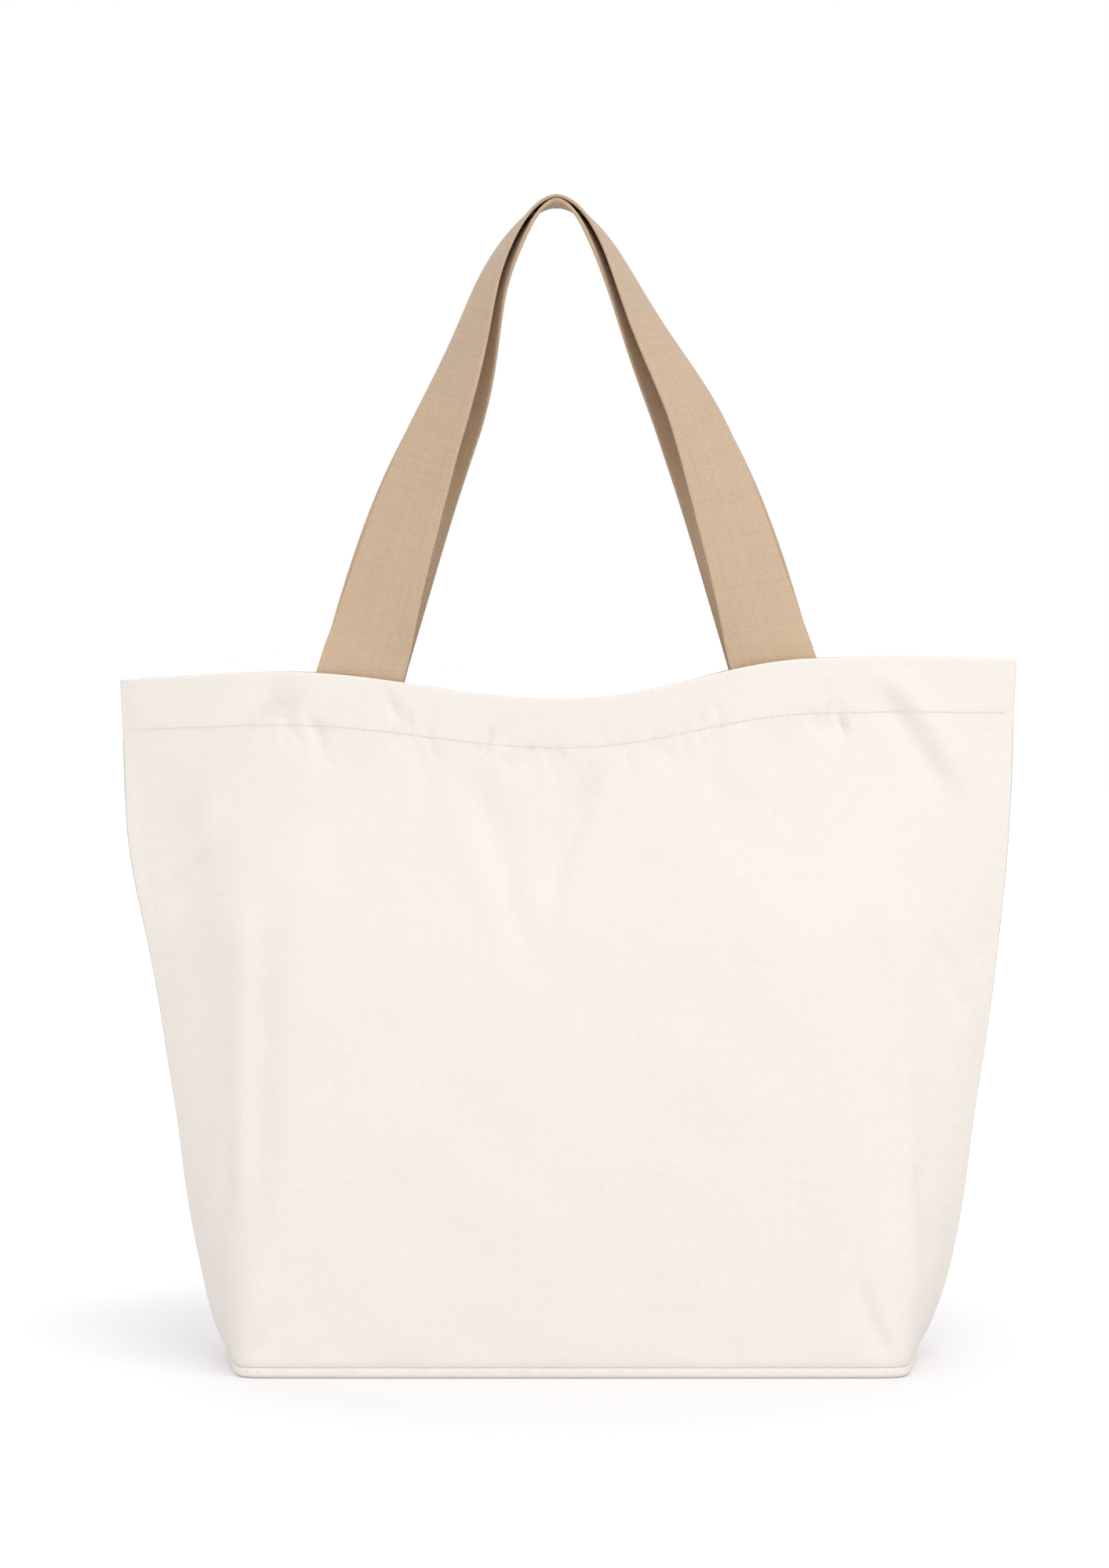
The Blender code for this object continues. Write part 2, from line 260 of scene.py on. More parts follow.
# short folds across the hem's stitching, drawn at random inside the zones
def puckerFolds(seed):
    rng = np.random.default_rng(seed)
    folds = []
    for k in range(puckers["count"]):
        low, high = puckers["zones"][k % len(puckers["zones"])]
        centre = rng.uniform(low, high)
        length = rng.uniform(*puckers["length"])
        middle = puckers["place"][0] + rng.normal(0, puckers["place"][1])
        slant = rng.normal(0, puckers["slant"]) * length
        depth, width = rng.uniform(*puckers["depth"]), rng.uniform(*puckers["width"])
        lean, bow = rng.normal(0, puckers["lean"]), rng.normal(0, puckers["bow"])
        folds.append((centre - slant / 2, middle + length / 2, centre + slant / 2, middle - length / 2,
                      depth, width, lean, bow))
    return folds


# a sum of sines of random direction, length and phase
def rippleField(a, h, seed):
    rng = np.random.default_rng(seed)
    total = np.zeros_like(a)
    for _ in range(ripples["waves"]):
        wave = rng.uniform(ripples["shortest"], ripples["longest"]) * mm
        heading = rng.normal(0, ripples["heading"])
        phase = rng.uniform(0, 2 * math.pi)
        turn = 2 * math.pi / wave
        total += np.sin(turn * (a * math.cos(heading) + h * math.sin(heading)) + phase)
    return total * ripples["height"] * mm / math.sqrt(ripples["waves"] / 2)


hem = {
    "height": 33 * mm,
    "stitchDrop": 30 * mm,
    "step": 0.4 * mm,  # the folded band stands this much proud of the single cloth below it
    "stepBelow": 3 * mm,
    "stepOver": 4 * mm,
    "groove": 0.25 * mm,  # the stitching draws the cloth in
    "grooveWidth": 1.5 * mm,
    "layer": 0.85 * mm,  # from the middle of one layer to the middle of the next
    "tuck": 10 * mm,
    "footCalm": 14 * mm,  # the foot's seam and the side seams hold the cloth straight over this distance
    "seamCalm": 9 * mm,
}


# how far the cloth stands off its plain surface: folds, ripples, hollows -depth e^(-across^2 - upward^2),
# puckers, and a step up and a groove at the hem's stitching
def relief(a, h, side):
    folds = frontFolds if side < 0 else backFolds
    seed = 0 if side < 0 else backSeed
    total = foldField(a, h, folds) + rippleField(a, h, ripples["seed"] + seed)
    for placeA, placeH, wide, tall, depth in hollows:
        across = (a - placeA * mm) / (wide * mm)
        upward = (h - placeH * mm) / (tall * mm)
        total -= depth * mm * np.exp(-(across**2) - upward**2)
    total += foldField(a, h, puckerFolds(puckers["seed"] + seed))
    stitch = bag["height"] - hem["stitchDrop"]
    total += hem["step"] * smoothStep((h - stitch + hem["stepBelow"]) / hem["stepOver"])
    total -= hem["groove"] * np.exp(-((h - stitch) / hem["grooveWidth"]) ** 2)
    footCalm = smoothStep((h - bag["footHeight"]) / hem["footCalm"])
    seamCalm = smoothStep((flatHalf - np.abs(a)) / hem["seamCalm"])
    return total * footCalm * seamCalm


# a mesh from a grid: points is rows x columns x 3, uv rows x columns x 2, keep says which quads exist, rows
# or columns may close into a ring, and caps puts one face on each end
def gridMesh(name, points, uv, keep=None, closeRows=False, closeColumns=False, flip=False, caps=False):
    rows, columns = points.shape[:2]
    index = np.arange(rows * columns).reshape(rows, columns)
    if closeRows:
        index = np.vstack([index, index[:1]])
    if closeColumns:
        index = np.hstack([index, index[:, :1]])
    quads = np.stack([index[:-1, :-1], index[:-1, 1:], index[1:, 1:], index[1:, :-1]], axis=-1)
    quads = quads[keep] if keep is not None else quads.reshape(-1, 4)
    if flip:
        quads = quads[:, ::-1]
    used, loops = np.unique(quads.ravel(), return_inverse=True)
    flatPoints, flatUv = points.reshape(-1, 3)[used], uv.reshape(-1, 2)[used]
    corners = loops.astype(np.int32)
    sizes = np.full(len(quads), 4, np.int32)
    if caps:
        first, last = index[0, :columns], index[-1, :columns]
        ends = (first, last[::-1]) if flip else (first[::-1], last)
        corners = np.concatenate([corners, *ends]).astype(np.int32)
        sizes = np.concatenate([sizes, [columns, columns]]).astype(np.int32)
    return facesMesh(name, flatPoints, corners, sizes, flatUv[corners])


# a grid of places on the cloth, in metres across and along it
def clothUv(across, along):
    return np.stack(np.broadcast_arrays(across[None, :], along[:, None]), axis=-1)


# puts whole arrays into a mesh: its points, the point of each face corner, the faces' sizes, a uv per corner
def facesMesh(name, points, corners, sizes, uv):
    starts = np.concatenate([[0], np.cumsum(sizes)[:-1]])
    mesh = bpy.data.meshes.new(name)
    mesh.vertices.add(len(points))
    mesh.vertices.foreach_set("co", points.astype(np.float32).ravel())
    mesh.loops.add(len(corners))
    mesh.loops.foreach_set("vertex_index", corners)
    mesh.polygons.add(len(sizes))
    mesh.polygons.foreach_set("loop_start", starts.astype(np.int32))
    layer = mesh.uv_layers.new(name="cloth")
    layer.data.foreach_set("uv", uv.astype(np.float32).ravel())
    mesh.update(calc_edges=True)
    mesh.validate()
    mesh.shade_smooth()
    item = bpy.data.objects.new(name, mesh)
    bpy.context.scene.collection.objects.link(item)
    return item


# gives a sheet its thickness, half to each side
def thicken(item, thickness):
    shell = item.modifiers.new("thickness", "SOLIDIFY")
    shell.thickness = thickness
    shell.offset = 0


# body panels
cloth = {
    "columns": 330,
    "footColumns": 150,
    "wallRows": 84,
    "hemRows": 22,
    "thickness": 0.8 * mm,
    "seamTurn": 1.2 * mm,  # the cloth turns inwards this far before the side seam
    "allowance": 11 * mm,
    "footInsets": (11.5, 8, 4, 1.6, 0.5),  # mm, the rows of the foot's seam allowance
    "sideInsets": (0.2, 1.6, 5, 11),  # mm, the columns of a side seam's allowance
    "sideUv": (0.4, 1.6, 5, 11),  # mm, their places on the flat cloth
    "innerFree": 12,  # the hem's inner layer stops this many columns short of the side seams
    "wallFrom": 0.8 * mm,  # the wall's first row above its foot
    "bandBelow": 8 * mm,  # finer rows start this far below the hem
    "turnRows": 8,
    "innerRows": 13,
    "tuckRows": 5,
    "flangeFoot": 4 * mm,  # the side seams' allowances start this far above the foot
    "flangeTop": 3 * mm,  # and end this far below the hem
}


# the rows of a body panel as (height, inset, kind): the foot's seam allowance, the wall, the hem's crown,
# its inner layer, and the raw edge tucked up under it; a turn is a half circle (r sin p, r - r cos p)
def panelRows():
    top, r = bag["height"], hem["layer"]
    foot = bag["footHeight"]
    rows = [(foot, inset * mm, 0) for inset in cloth["footInsets"]]
    low = top - hem["height"]
    bandLow = low - cloth["bandBelow"]
    rows += [(h, 0, 1) for h in np.linspace(foot + cloth["wallFrom"], bandLow, cloth["wallRows"])]
    rows += [(h, 0, 1) for h in np.linspace(bandLow, top - r, cloth["hemRows"] + 1)[1:]]
    for p in np.linspace(0, math.pi, cloth["turnRows"])[1:]:
        rows.append((top - r + r * math.sin(p), r - r * math.cos(p), 2))
    rows += [(h, 2 * r, 2) for h in np.linspace(top - r, low, cloth["innerRows"])[1:]]
    turn = r / 2
    for p in np.linspace(0, math.pi, cloth["tuckRows"])[1:]:
        rows.append((low - turn * math.sin(p), 2 * r - turn + turn * math.cos(p), 2))
    rows += [(h, r, 2) for h in np.linspace(low, low + hem["tuck"], cloth["tuckRows"])[1:]]
    return np.array(rows)


# a wall with its hem: the plain surface, moved by relief less the row's inset along its outward direction
def bodyPanel(name, side):
    rows = panelRows()
    h, inset, kind = rows[:, :1], rows[:, 1:2], rows[:, 2:3]
    edge = flatHalf - cloth["seamTurn"]
    a = np.linspace(-edge, edge, cloth["columns"])[None, :]
    a, h, inset, kind = np.broadcast_arrays(a, h, inset, kind)
    wall = wallPoint(a, h, side)
    offset = relief(a, h, side) - np.where(kind > 0, inset, 0)
    points = wall + wallNormal(a, h, side) * offset[..., None]
    shrink = np.stack([1 - inset / bag["halfBase"], 1 - inset / bag["halfDepth"], np.ones_like(a)], axis=-1)
    points = np.where(kind[..., None] == 0, wall * shrink, points)

    # seam allowances: each end of a row turns back inwards along the plane between the panels
    strips = []
    for end in (-1, 1):
        seam = wallPoint(np.full(len(rows), end * flatHalf), rows[:, 0], side)
        seam[:, 1] = side * bag["seamPlane"]
        strips.append(seam[:, None] - np.array(cloth["sideInsets"])[None, :, None] * (end * mm, 0, 0))
    points = np.concatenate([strips[0][:, ::-1], points, strips[1]], axis=1)

    # which quads exist: seam allowances only on the wall below the hem, and a turned tip up to its crown
    rowHeight, rowKind = rows[:, 0], rows[:, 2]
    lowest = bag["footHeight"] + cloth["flangeFoot"]
    highest = bag["height"] - hem["height"] - cloth["flangeTop"]
    tipRow = rowKind == 1
    flangeRow = tipRow & (rowHeight > lowest) & (rowHeight < highest)
    columns = points.shape[1]
    keep = np.ones((len(rows) - 1, columns - 1), bool)
    for strip in (slice(0, 3), slice(columns - 4, columns - 1)):
        keep[:, strip] = (flangeRow[:-1] & flangeRow[1:])[:, None]
    for tip in (3, columns - 5):
        keep[:, tip] = tipRow[:-1] & tipRow[1:]
    inner = rowKind[:-1] == 2
    free = cloth["innerFree"]
    keep[np.ix_(inner, np.r_[0:free, columns - 1 - free:columns - 1])] = False

    beyond = edge + np.array(cloth["sideUv"]) * mm
    u = np.concatenate([-beyond[::-1], a[0], beyond])
    item = gridMesh(name, points, clothUv(u, runLength(rows[:, :2])), keep, flip=side > 0)
    thicken(item, cloth["thickness"])
    return item


# the outline of the foot, front then back, as one closed line moved inwards by shrinking each half
def footOutline(inset, height):
    a = np.linspace(-flatHalf, flatHalf, cloth["footColumns"])
    foot = np.full_like(a, bag["footHeight"])
    line = np.vstack([wallPoint(a, foot, -1), wallPoint(-a, foot, 1)])
    line[:, 0] *= 1 - inset / bag["halfBase"]
    line[:, 1] *= 1 - inset / bag["halfDepth"]
    line[:, 2] = height
    return line


base = {
    "rimHeight": 6 * mm,
    "topTurn": 0.45 * mm,
    "lowTurn": 2.4 * mm,
    "seamInsets": (11.5, 8, 5, 2.5),  # mm, the rings of the seam allowance
    "rings": 34,
    "topRings": 5,
    "lowRings": 8,
    "toMiddle": 0.985,  # the rings end this share of the way in, and a last one almost closes to a line
    "slit": 0.2 * mm,
    "cutTurn": 4 * mm,  # what the rolled rim adds to the cut size on each side
    "wave": 0.5 * mm,  # the cloth's lie on the floor: its height, its lengths each way, and where it grows
    "waveAcross": 31 * mm,
    "waveAlong": 23 * mm,
    "waveFrom": 18,
    "waveOver": 8,
}


# rings from the inner edge of the seam allowance, out round a tight turn to the rim's face, down it, round a
# softer turn at the floor, and in over the floor
def basePanel(name):
    half = cloth["thickness"] / 2
    high, small, large = base["rimHeight"] - half, base["topTurn"], base["lowTurn"]
    profile = [(inset * mm, high) for inset in base["seamInsets"]]
    for p in np.radians(np.linspace(90, 0, base["topRings"])):
        profile.append((small - small * math.cos(p), high - small + small * math.sin(p)))
    for p in np.radians(np.linspace(0, -90, base["lowRings"])):
        profile.append((large - large * math.cos(p), half + large + large * math.sin(p)))
    for k in range(1, base["rings"]):
        profile.append((large + (bag["halfDepth"] - large) * k / base["rings"] * base["toMiddle"], half))
    points = np.stack([footOutline(inset, z) for inset, z in profile])
    ring = np.arange(len(profile))[:, None]
    inside = smoothStep((ring - base["waveFrom"]) / base["waveOver"])
    swell = np.sin(points[..., 0] / base["waveAcross"]) * np.cos(points[..., 1] / base["waveAlong"] + 1)
    points[..., 2] += base["wave"] * (0.5 + 0.5 * swell) * inside
    middle = points[-1:].copy()
    middle[..., 1] = base["slit"] * np.sign(middle[..., 1])
    points = np.concatenate([points, middle])
    item = gridMesh(name, points, points[..., :2], closeColumns=True)
    thicken(item, cloth["thickness"])
    return item


threadShare = 0.82  # of a stitch's pitch is thread, the rest a gap
hemStitch = {
    "pitch": 3.3 * mm,
    "radius": 0.24 * mm,
    "arch": 0.16 * mm,
    "lift": 0.08 * mm,
    "end": 6 * mm,  # the row stops this far short of the side seams
    "samples": 700,
}
boxStitch = {
    "pitch": 3.0 * mm,
    "radius": 0.3 * mm,
    "arch": 0.15 * mm,
    "lift": 0.12 * mm,
    "margin": 6 * mm,
    "samples": 30,  # along each side of the box
}
overlock = {
    "pitch": 2.6 * mm,
    "radius": 0.2 * mm,
    "reach": 5 * mm,
    "steps": 16,  # points to a turn
    "sides": 5,
    "seamSamples": 200,
    "foot": 6 * mm,  # a side seam's overlocking starts this far above the foot
    "top": 5 * mm,  # and ends this far below the hem
    "edge": 11.5 * mm,  # the base seam's raw edge is this far in
    "rim": 6 * mm,
}


# one short round stitch per pair of neighbouring places: a tube of radius r(t) = r sqrt(1 - t^6) along t
# from -1 to 1, whose middle is raised by arch (1 - t^2) off the cloth
def stitchRow(name, places, lift, stitch):
    run = runLength(places)
    count = max(2, int(round(run[-1] / stitch["pitch"])))
    marks = np.linspace(0, run[-1], count + 1)
    at, up = readAt(marks, run, places), readAt(marks, run, lift)
    start, end = at[:-1], at[1:]
    middle, half = (start + end) / 2, (end - start) / 2 * threadShare
    outward = unit((up[:-1] + up[1:]) / 2)
    sideways = unit(np.cross(half, outward))
    t = np.array([-1.0, -0.8, -0.35, 0.35, 0.8, 1.0])
    angle = np.linspace(0, 2 * math.pi, 7)[:-1]
    r = stitch["radius"] * np.sqrt(np.clip(1 - t**6, 0.12, 1))
    bow = stitch["arch"] * (1 - t * t)
    centre = middle[:, None] + half[:, None] * t[None, :, None] + outward[:, None] * bow[None, :, None]
    ringOut = outward[:, None, None] * (r[:, None] * np.cos(angle))[None, ..., None]
    ringSide = sideways[:, None, None] * (r[:, None] * np.sin(angle))[None, ..., None]
    points = centre[:, :, None] + ringOut + ringSide  # stitches x rings x sides x 3
    return manyTubes(name, points)


# many capped tubes of equal size in one mesh: points is tubes x rings x sides x 3
def manyTubes(name, points):
    tubes, rings, sides = points.shape[:3]
    index = np.arange(rings * sides).reshape(rings, sides)
    wrapped = np.hstack([index, index[:, :1]])
    quads = np.stack([wrapped[:-1, :-1], wrapped[1:, :-1], wrapped[1:, 1:], wrapped[:-1, 1:]], axis=-1)
    quads = quads.reshape(-1, 4)
    one = np.concatenate([quads.ravel(), index[0], index[-1][::-1]])
    sizes = np.concatenate([np.full(len(quads), 4), [sides, sides]])
    corners = (one[None] + np.arange(tubes)[:, None] * rings * sides).ravel().astype(np.int32)
    around, along = np.meshgrid(np.arange(sides) / sides, np.linspace(0, 1, rings))
    uv = np.stack([around, along], axis=-1).reshape(-1, 2)[corners % (rings * sides)]
    return facesMesh(name, points.reshape(-1, 3), corners, np.tile(sizes, tubes).astype(np.int32), uv)


# a tube of one radius along a smooth line: line + radius (first cos(angle) + second sin(angle)), where first
# and second are square to the line, and first is square to a slanting direction that no thread runs along
def tube(name, line, radius, sides, closed):
    if closed:
        run = unit(np.roll(line, -1, axis=0) - np.roll(line, 1, axis=0))
    else:
        run = unit(np.gradient(line, axis=0))
    first = unit(np.cross(run, np.array((0.31, 0.47, 0.83))))
    second = np.cross(run, first)
    angle = np.linspace(0, 2 * math.pi, sides + 1)[:-1]
    ring = first[:, None] * np.cos(angle)[None, :, None] + second[:, None] * np.sin(angle)[None, :, None]
    points = line[:, None] + radius * ring
    uv = clothUv(angle / (2 * math.pi), runLength(line) / (2 * radius))
    return gridMesh(name, points, uv, closeRows=closed, closeColumns=True, caps=not closed, flip=True)


# the row along a hem, off the wall by its relief, half the cloth's thickness and a little more
def hemStitches(name, side):
    edge = flatHalf - hemStitch["end"]
    a = np.linspace(-edge, edge, hemStitch["samples"])
    h = np.full_like(a, bag["height"] - hem["stitchDrop"])
    normal = wallNormal(a, h, side)
    out = relief(a, h, side) + cloth["thickness"] / 2 + hemStitch["lift"]
    return stitchRow(name, wallPoint(a, h, side) + normal * out[:, None], normal, hemStitch)


# an overlocking thread runs to and fro round the raw edges of two layers: over one face, round the edge,
# over the other and back. edgeLine is the edge, inward points from it into the cloth, up is across the
# layers; with c = cos(2 pi phase) it lies reach |c|^1.2 into the cloth and clearance tanh(5 c) off its plane
def overlockThread(name, edgeLine, inward, up, halfThickness, closed=False):
    if closed:
        edgeLine, inward, up = (np.vstack([rows, rows[:1]]) for rows in (edgeLine, inward, up))
    run = runLength(edgeLine)
    turns, steps = int(round(run[-1] / overlock["pitch"])), overlock["steps"]
    phase = np.arange(turns * steps + (0 if closed else 1)) / steps
    marks = phase / turns * run[-1]
    at, into, across = (readAt(marks, run, rows) for rows in (edgeLine, inward, up))
    swing = np.cos(2 * math.pi * phase)  # 1 far over one face, 0 at the edge, -1 far over the other
    radius = overlock["radius"]
    depth = overlock["reach"] * np.abs(swing) ** 1.2 - radius
    lift = (halfThickness + radius) * np.tanh(swing * 5)
    line = at + into * depth[:, None] + across * lift[:, None]
    return tube(name, line, radius, overlock["sides"], closed)


# along a side seam, round the two allowances that meet in the plane between the panels
def sideOverlock(name, end):
    top = bag["height"] - hem["height"] - overlock["top"]
    h = np.linspace(bag["footHeight"] + overlock["foot"], top, overlock["seamSamples"])
    seam = wallPoint(np.full_like(h, end * flatHalf), h, -1)
    seam[:, 1] = 0
    seam[:, 0] -= end * cloth["allowance"]
    inward = np.tile([end * 1.0, 0, 0], (len(h), 1))
    up = np.tile([0, 1.0, 0], (len(h), 1))
    return overlockThread(name, seam, inward, up, bag["seamPlane"] + cloth["thickness"] / 2)


# round the foot, over the walls' allowance and the base's below it
def baseOverlock(name):
    inner = footOutline(overlock["edge"], 0)
    inward = unit(footOutline(overlock["rim"], 0) - inner)
    low = base["rimHeight"] - cloth["thickness"]
    high = bag["footHeight"] + cloth["thickness"] / 2
    inner[:, 2] = (low + high) / 2
    up = np.tile([0, 0, 1.0], (len(inner), 1))
    return overlockThread(name, inner, inward, up, (high - low) / 2, closed=True)


webbing = {
    "width": 50 * mm,
    "thickness": 2.0 * mm,
    "drop": 270 * mm,
    "lean": math.radians(15.5),
    "sewnLength": 36 * mm,
    "behindHem": 4.6 * mm,  # from the wall's middle surface to the strap's
    "crownShift": -6.8 * mm,  # the loops lean to the left above mid height
    "shiftFrom": 140 * mm,
    "shiftTo": 235 * mm,
    "stations": 130,
    "bendShare": 0.06,  # this share of each leg, from the hem, is divided more finely for the bend
    "bendStations": 44,
    "sewnStations": 14,
    "faceStations": 15,
    "selvedgeStations": 7,
    "endCalm": 0.1,  # pinch and curl fade out over this share of a leg at its ends
    "slantShare": 0.3,  # over this share of a leg its cut turns from level at the hem to square
}
# spacing: from leg to leg at the hem; straight: how far a leg runs on before it curves; crown: half the flat
# run at the crown; turnLate, turnEarly: how late and how early the strap turns level; under, crownDepth: how
# far the crown lies under the front handle's and off the bag's middle plane; pinch: how far the leg is drawn
# in, where along it and over what share; curl: the same for an extra turn of the strap
handles = {
    "front_handle": {
        "side": -1, "spacing": 236 * mm, "straight": 169 * mm, "crown": 33 * mm,
        "turnLate": 0.97, "turnEarly": 1.117, "under": 0.0, "crownDepth": 0.0,
        "pinch": (-4.2 * mm, 0.67, 0.157), "curl": (math.radians(7), 0.143, 0.1675)},
    "back_handle": {
        "side": 1, "spacing": 239 * mm, "straight": 123.3 * mm, "crown": 30.8 * mm,
        "turnLate": 1.41, "turnEarly": 1.253, "under": 2.2 * mm, "crownDepth": -2.2 * mm,
        "pinch": (-5 * mm, 0.61, 0.2), "curl": (math.radians(-3.4), 0.89, 0.09)},
}


# how far the wall is from the bag's middle plane at a place across and a height
def wallDepth(x, h):
    a = np.linspace(0, flatHalf, 400)
    line = wallPoint(a, np.full_like(a, h), 1)
    return float(np.interp(x, line[:, 0], line[:, 1]))


# half a handle, from its sewn end up to the crown: its middle line, and the vector across the strap. The leg
# is the cubic curve (1-t)^3 p + 3t(1-t)^2 q + 3t^2(1-t) r + t^3 s, and the strap turns about it by the share
# 1 - (1 - along^late)^early of a quarter turn, from facing outwards at the hem to level at the crown
def handleHalf(shape):
    side = shape["side"]
    hingeZ = hinges["front_handle"][2]
    foot = np.array([shape["spacing"] / 2, 0.0])
    lean = np.array([-math.sin(webbing["lean"]), math.cos(webbing["lean"])])
    top = webbing["drop"] - shape["under"]
    p, q, r, s = foot, foot + shape["straight"] * lean, np.array([shape["crown"], top]), np.array([0, top])
    fine = np.linspace(0, webbing["bendShare"], webbing["bendStations"], endpoint=False)
    t = np.concatenate([fine, np.linspace(webbing["bendShare"], 1, webbing["stations"])])[:, None]
    leg = (1 - t) ** 3 * p + 3 * t * (1 - t) ** 2 * q + 3 * t * t * (1 - t) * r + t**3 * s
    along = runLength(leg)
    along = along / along[-1]
    footCalm = smoothStep(along / webbing["endCalm"])
    size, centre, reach = shape["pinch"]
    pinch = size * np.exp(-(((along - centre) / reach) ** 2)) * smoothStep((1 - along) / webbing["endCalm"])
    leg[:, 0] += pinch * footCalm
    run = np.gradient(leg, axis=0)
    run[0], run[-1] = lean, (-1, 0)
    run = unit(run)
    slantWidth = webbing["width"] / math.cos(webbing["lean"])
    lowZ = bag["height"] - webbing["sewnLength"]
    lowCentre = shape["spacing"] / 2 + (hingeZ - lowZ) * math.tan(webbing["lean"])
    depths = []  # of the strap's two edges, at the sewn length's foot and at the hinge line
    for middle, h in ((lowCentre, lowZ), (shape["spacing"] / 2, min(hingeZ, bag["height"]))):
        for x in (middle - slantWidth / 2, middle + slantWidth / 2):
            depths.append(wallDepth(x, h) - webbing["behindHem"])
    lowInner, lowOuter, highInner, highOuter = depths
    footDepth = side * (highInner + highOuter) / 2
    footTwist = math.atan2(highInner - highOuter, webbing["width"])
    depth = footDepth + (shape["crownDepth"] - footDepth) * smoothStep(along)
    turned = 1 - (1 - along ** shape["turnLate"]) ** shape["turnEarly"]
    size, centre, reach = shape["curl"]
    twist = side * footTwist * (1 - turned) - math.pi / 2 * turned
    twist -= size * np.exp(-(((along - centre) / reach) ** 2)) * footCalm
    level = (1 - smoothStep(along / webbing["slantShare"])) * math.tan(webbing["lean"])
    inward = np.stack([-run[:, 1], run[:, 0]], axis=1)
    flatAcross = np.cos(twist)[:, None] * (inward + level[:, None] * run)
    centres = np.stack([leg[:, 0], depth, hingeZ + leg[:, 1]], axis=1)
    across = np.stack([flatAcross[:, 0], np.sin(twist), flatAcross[:, 1]], axis=1)

    q = np.linspace(0, 1, webbing["sewnStations"], endpoint=False)[:, None]
    sewnCentres = np.array([lowCentre, side * (lowInner + lowOuter) / 2, lowZ]) * (1 - q) + centres[0] * q
    lowAcross = np.array([-slantWidth, side * (lowInner - lowOuter), 0]) / webbing["width"]
    sewnAcross = lowAcross * (1 - q) + across[0] * q
    return np.vstack([sewnCentres, centres]), np.vstack([sewnAcross, across])


# the strap's outline across its width: flat faces with half-round selvedges, as (across, off the face)
def strapSection():
    half, r = webbing["width"] / 2, webbing["thickness"] / 2
    flat = np.linspace(-1, 1, webbing["faceStations"]) * (half - r)
    angle = np.radians(np.linspace(-90, 90, webbing["selvedgeStations"])[1:-1])
    right = np.stack([half - r + r * np.cos(angle), r * np.sin(angle)], axis=1)
    face = np.stack([flat, np.full_like(flat, r)], axis=1)
    return np.vstack([face * (1, -1), right, face[::-1], -right])


# a whole handle: the half and its mirror image, shifted sideways above mid height
def handleStrap(name, shape):
    centres, across = handleHalf(shape)
    mirror = np.array([-1.0, 1, 1])
    line = np.vstack([centres * mirror, centres[-2::-1]])
    wide = np.vstack([across * mirror, across[-2::-1]])
    rise = line[:, 2] - hinges[name][2]
    line[:, 0] += webbing["crownShift"] * smoothStep(
        (rise - webbing["shiftFrom"]) / (webbing["shiftTo"] - webbing["shiftFrom"]))
    run = np.gradient(line, axis=0)
    off = unit(np.cross(run, wide))
    section = strapSection()
    points = line[:, None] + wide[:, None] * section[None, :, :1] + off[:, None] * section[None, :, 1:]
    along = runLength(line)
    uv = clothUv(section[:, 0], along)
    item = gridMesh(name + "_strap", points, uv, closeColumns=True, caps=True, flip=True)
    return item, along[-1]


# a turn of stitches round a sewn end, with a cross through it, on the strap's face inside the bag
def boxStitches(name, shape, leg):
    centres, across = handleHalf(shape)
    side = shape["side"]
    low, high = centres[0], centres[webbing["sewnStations"] - 1]
    wide = across[0] * webbing["width"] / 2
    margin = boxStitch["margin"]
    acrossShare = 1 - margin / (webbing["width"] / 2)
    upLow, upHigh = margin / webbing["sewnLength"], 1 - margin / webbing["sewnLength"]
    corner = [low + (high - low) * up + wide * share * acrossShare
              for share, up in ((-1, upLow), (1, upLow), (1, upHigh), (-1, upHigh))]
    inside = np.array([0, -side * (webbing["thickness"] / 2 + boxStitch["lift"]), 0])
    pieces = []
    for order in ((0, 1, 2, 3, 0, 2), (1, 3)):
        points = [corner[k] for k in order]
        sides = [np.linspace(p, q, boxStitch["samples"], endpoint=False)
                 for p, q in zip(points[:-1], points[1:])]
        dense = np.vstack([*sides, points[-1][None]]) + inside
        dense[:, 0] *= leg
        lift = np.tile([0, -side * 1.0, 0], (len(dense), 1))
        pieces.append(stitchRow(name, dense, lift, boxStitch))
    with bpy.context.temp_override(active_object=pieces[0], selected_editable_objects=pieces):
        bpy.ops.object.join()
    return pieces[0]


# a node's inputs, by name or number, given plain values or sockets to link from
def setInputs(tree, made, inputs):
    for key, value in inputs.items():
        if isinstance(value, bpy.types.NodeSocket):
            tree.links.new(value, made.inputs[key])
        else:
            made.inputs[key].default_value = value


# a node with its inputs and its settings
def node(tree, kind, inputs=None, **settings):
    made = tree.nodes.new(kind)
    for key, value in settings.items():
        setattr(made, key, value)
    setInputs(tree, made, inputs or {})
    return made


# one sum on sockets or numbers
def maths(tree, operation, *values):
    return node(tree, "ShaderNodeMath", dict(enumerate(values)), operation=operation).outputs[0]


# smooth noise, scale times to the metre
def noise(tree, place, scale, detail, dimensions):
    inputs = {"Vector": place, "Scale": scale, "Detail": detail}
    return node(tree, "ShaderNodeTexNoise", inputs, noise_dimensions=dimensions).outputs["Fac"]


# a node group with sockets of the given kinds, the group's own inputs, and where its results go
def newGroup(name, inputs, outputs):
    tree = bpy.data.node_groups.new(name, "ShaderNodeTree")
    for way, sockets in (("INPUT", inputs), ("OUTPUT", outputs)):
        for label, kind in sockets.items():
            tree.interface.new_socket(label, in_out=way, socket_type="NodeSocket" + kind)
    return tree, node(tree, "NodeGroupInput").outputs, node(tree, "NodeGroupOutput").inputs


weaveShape = {
    "wanderScale": 90,  # wanders to the metre
    "crimp": 0.45,  # how far a thread dips along itself
    "slubAcross": 0.6,
    "slubAlong": 0.035,
}


